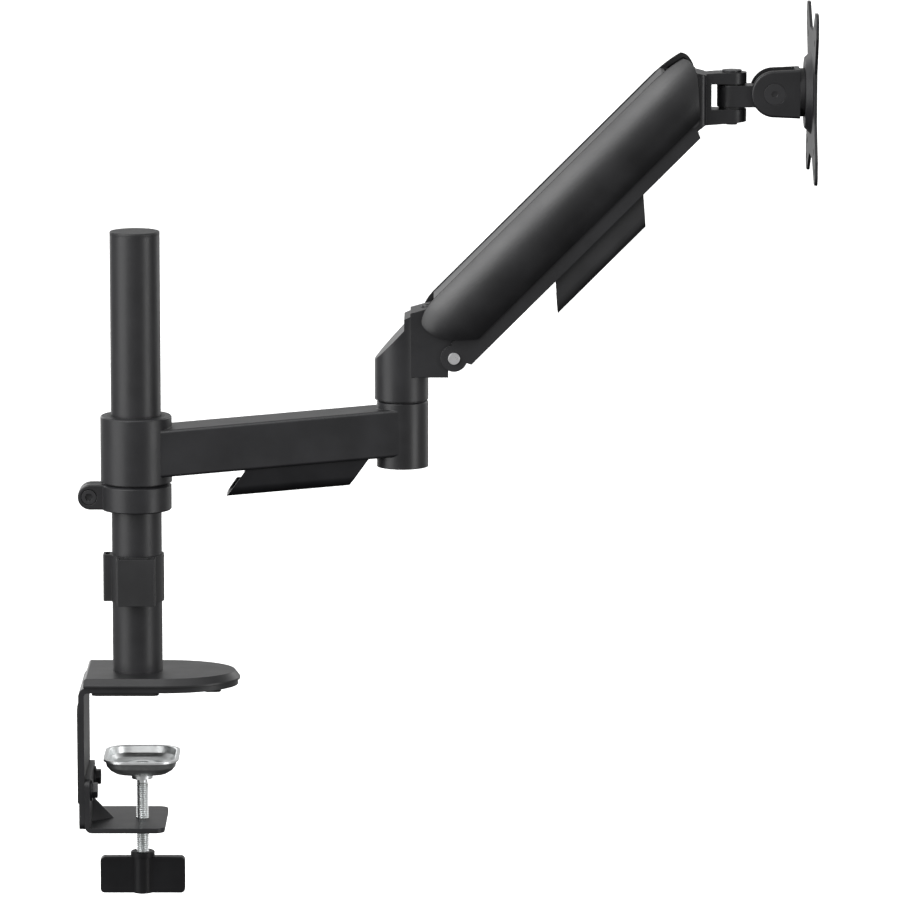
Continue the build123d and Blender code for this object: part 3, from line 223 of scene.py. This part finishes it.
def threaded_screw():
    """The clamp screw in one closed mesh: helical thread, flange, neck and ball end."""
    bm = bmesh.new()
    rings = []
    total = int((THREAD_END - THREAD_START) / THREAD_PITCH * SLICES_PER_PITCH)
    for index in range(total + 1):
        pitches = index / SLICES_PER_PITCH
        ease = min(1.0, pitches, (total - index) / SLICES_PER_PITCH)

        def radius_at(turn, pitches=pitches, ease=ease):
            return RELIEF_R + (groove(pitches - turn) - RELIEF_R) * ease

        rings.append(ring_of(bm, radius_at, THREAD_START + pitches * THREAD_PITCH))
    for radius, z in SCREW_HEAD:
        rings.append(ring_of(bm, lambda turn, radius=radius: radius, z))
    for low, high in zip(rings, rings[1:]):
        for step in range(SIDES):
            after = (step + 1) % SIDES
            bm.faces.new((low[step], low[after], high[after], high[step]))
    bm.faces.new(list(reversed(rings[0])))
    bm.faces.new(rings[-1])
    mesh = bpy.data.meshes.new("threaded_screw")
    bm.to_mesh(mesh)
    bm.free()
    screw = bpy.data.objects.new("threaded_screw", mesh)
    bpy.context.scene.collection.objects.link(screw)
    screw.data.materials.append(FINISH["zinc_steel"])
    return screw


screw = threaded_screw()
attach(screw, "clamp_screw_body")
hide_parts("clamp_screw")

# ---------------------------------------------------------------- stage

FLOOR_Z = -0.46
FLOOR_HALF = 40.0
floor_mesh = bpy.data.meshes.new("floor")
bm = bmesh.new()
bmesh.ops.create_grid(bm, x_segments=2, y_segments=2, size=FLOOR_HALF)
bm.to_mesh(floor_mesh)
bm.free()
floor = bpy.data.objects.new("floor", floor_mesh)
floor.location = (0, 0, FLOOR_Z)
bpy.context.scene.collection.objects.link(floor)
pale = Shader("pale_floor")
pale.feed("Base Color", pale.ramp(pale.noise(0.8), [(0.3, 0.94), (0.7, 0.96)]))
pale.feed("Roughness", 0.95)
pale.feed("Specular IOR Level", 0.1)
floor.data.materials.append(pale.material)
floor.visible_glossy = False
floor.visible_diffuse = False

# the surroundings are dark below, soft grey at eye level and brighter overhead
world = bpy.data.worlds.new("studio")
bpy.context.scene.world = world
world.use_nodes = True
sky = world.node_tree
direction = sky.nodes.new("ShaderNodeTexCoord")
split = sky.nodes.new("ShaderNodeSeparateXYZ")
height = sky.nodes.new("ShaderNodeMapRange")
height.inputs["From Min"].default_value = -1.0
tones = sky.nodes.new("ShaderNodeValToRGB")
tones.color_ramp.interpolation = "EASE"
SKY_TONES = ((0.26, 0.02), (0.41, 0.36), (0.52, 0.54), (0.80, 0.56))
while len(tones.color_ramp.elements) < len(SKY_TONES):
    tones.color_ramp.elements.new(0.5)
for element, (position, grey) in zip(tones.color_ramp.elements, SKY_TONES):
    element.position = position
    element.color = (grey, grey, grey, 1.0)
sky.links.new(direction.outputs["Generated"], split.inputs["Vector"])
sky.links.new(split.outputs["Z"], height.inputs["Value"])
sky.links.new(height.outputs["Result"], tones.inputs["Fac"])
sky.links.new(tones.outputs["Color"], sky.nodes["Background"].inputs["Color"])

# seen directly, beyond the floor's edge, they are as pale as the floor
backdrop = sky.nodes.new("ShaderNodeBackground")
backdrop.inputs["Color"].default_value = (0.99, 0.99, 0.99, 1.0)
rays = sky.nodes.new("ShaderNodeLightPath")
choice = sky.nodes.new("ShaderNodeMixShader")
sky.links.new(rays.outputs["Is Camera Ray"], choice.inputs["Fac"])
sky.links.new(sky.nodes["Background"].outputs["Background"], choice.inputs[1])
sky.links.new(backdrop.outputs["Background"], choice.inputs[2])
sky.links.new(choice.outputs["Shader"], sky.nodes["World Output"].inputs["Surface"])


def softbox(name, azimuth, elevation, distance, width, tall, radiance):
    """A rectangular light facing the arm; azimuth 0 is the camera's side and grows towards the screen."""
    side = math.radians(azimuth)
    rise = math.radians(elevation)
    offset = Vector((math.sin(side) * math.cos(rise), -math.cos(side) * math.cos(rise), math.sin(rise)))
    light = bpy.data.lights.new(name, "AREA")
    light.shape = "RECTANGLE"
    light.size = width
    light.size_y = tall
    light.energy = radiance * math.pi * width * tall
    lamp = bpy.data.objects.new(name, light)
    lamp.location = LIT_CENTRE + distance * offset
    lamp.rotation_euler = (-offset).to_track_quat("-Z", "Y").to_euler()
    bpy.context.scene.collection.objects.link(lamp)


LIT_CENTRE = Vector((0.22, 0, 0.17))
# name, azimuth and elevation in degrees, distance, width and height in metres, radiance
SOFTBOXES = (
    ("left_softbox", -62, 10, 2.0, 1.5, 2.0, 2.4),
    ("upper_left_softbox", -48, 42, 2.0, 1.5, 1.0, 4.5),
    ("front_left_softbox", -26, 24, 2.0, 0.9, 0.9, 1.9),
    ("right_softbox", 56, -2, 2.0, 0.7, 1.3, 4.2),
    ("top_softbox", 0, 80, 2.2, 1.6, 0.8, 1.2),
    ("back_left_softbox", -150, 14, 2.2, 1.0, 1.8, 1.5),
    ("back_right_softbox", 140, 14, 2.2, 1.0, 1.8, 1.5),
)
for settings in SOFTBOXES:
    softbox(*settings)

floor_only = bpy.data.collections.new("floor_only")
floor_only.objects.link(floor)
sun = bpy.data.lights.new("floor_sun", "SUN")
sun.energy = 3.3
sun.angle = math.radians(60)
sun_lamp = bpy.data.objects.new("floor_sun", sun)
bpy.context.scene.collection.objects.link(sun_lamp)
sun_lamp.light_linking.receiver_collection = floor_only

# ---------------------------------------------------------------- camera

CAMERA_TARGET = Vector((0.2186, 0, 0.1695))
CAMERA_DISTANCE = 4.5
CAMERA_ELEVATION = math.radians(9.3)
lens = bpy.data.cameras.new("camera")
lens.lens = 258.0
lens.sensor_width = 36.0
camera = bpy.data.objects.new("camera", lens)
camera.location = CAMERA_TARGET + CAMERA_DISTANCE * Vector(
    (0, -math.cos(CAMERA_ELEVATION), math.sin(CAMERA_ELEVATION))
)
camera.rotation_euler = (CAMERA_TARGET - camera.location).to_track_quat("-Z", "Y").to_euler()
bpy.context.scene.collection.objects.link(camera)
bpy.context.scene.camera = camera
bpy.context.scene.view_settings.view_transform = "Standard"
